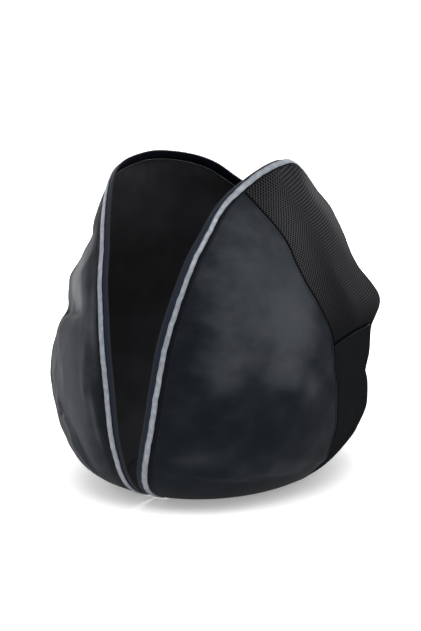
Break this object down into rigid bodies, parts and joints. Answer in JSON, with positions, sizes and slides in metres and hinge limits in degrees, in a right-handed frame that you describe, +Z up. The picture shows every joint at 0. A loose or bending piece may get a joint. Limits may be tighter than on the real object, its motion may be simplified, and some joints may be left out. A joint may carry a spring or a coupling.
{
  "type": "motorcycle helmet bag",
  "caption": "Soft rounded bag for one full-face helmet, standing open on its flat base, with a zip over the top, mesh sides and reflective edge strips.",
  "frame": {"origin": "middle of the flat base, on the surface that the bag stands on", "axes": "+Z up, -Y towards the front slit, +X towards the right wall"},
  "size_m": [0.2786, 0.3427, 0.2956],
  "materials": {
    "satin": "smooth coated satin weave, near black with a blue cast",
    "mesh": "padded spacer mesh, dark grey",
    "lining": "smooth soft black lining",
    "reflective": "silver grey reflective tape",
    "zip": "black woven zip tape",
    "coil": "black nylon coil",
    "slider": "black painted zip slider"
  },
  "bodies": {
    "root": {"left_front_panel": "satin", "left_mesh_panel": "mesh", "left_rear_panel": "satin", "left_lining": "lining", "left_reflective_strip": "reflective", "left_zip_tape": "zip", "left_zip_coil": "coil", "right_front_panel": "satin", "right_mesh_panel": "mesh", "right_rear_panel": "satin", "right_lining": "lining", "right_reflective_strip": "reflective", "right_zip_tape": "zip", "right_zip_coil": "coil", "base_panel": "satin", "floor_lining": "lining", "zip_slider": "slider"}
  },
  "joints": []
}
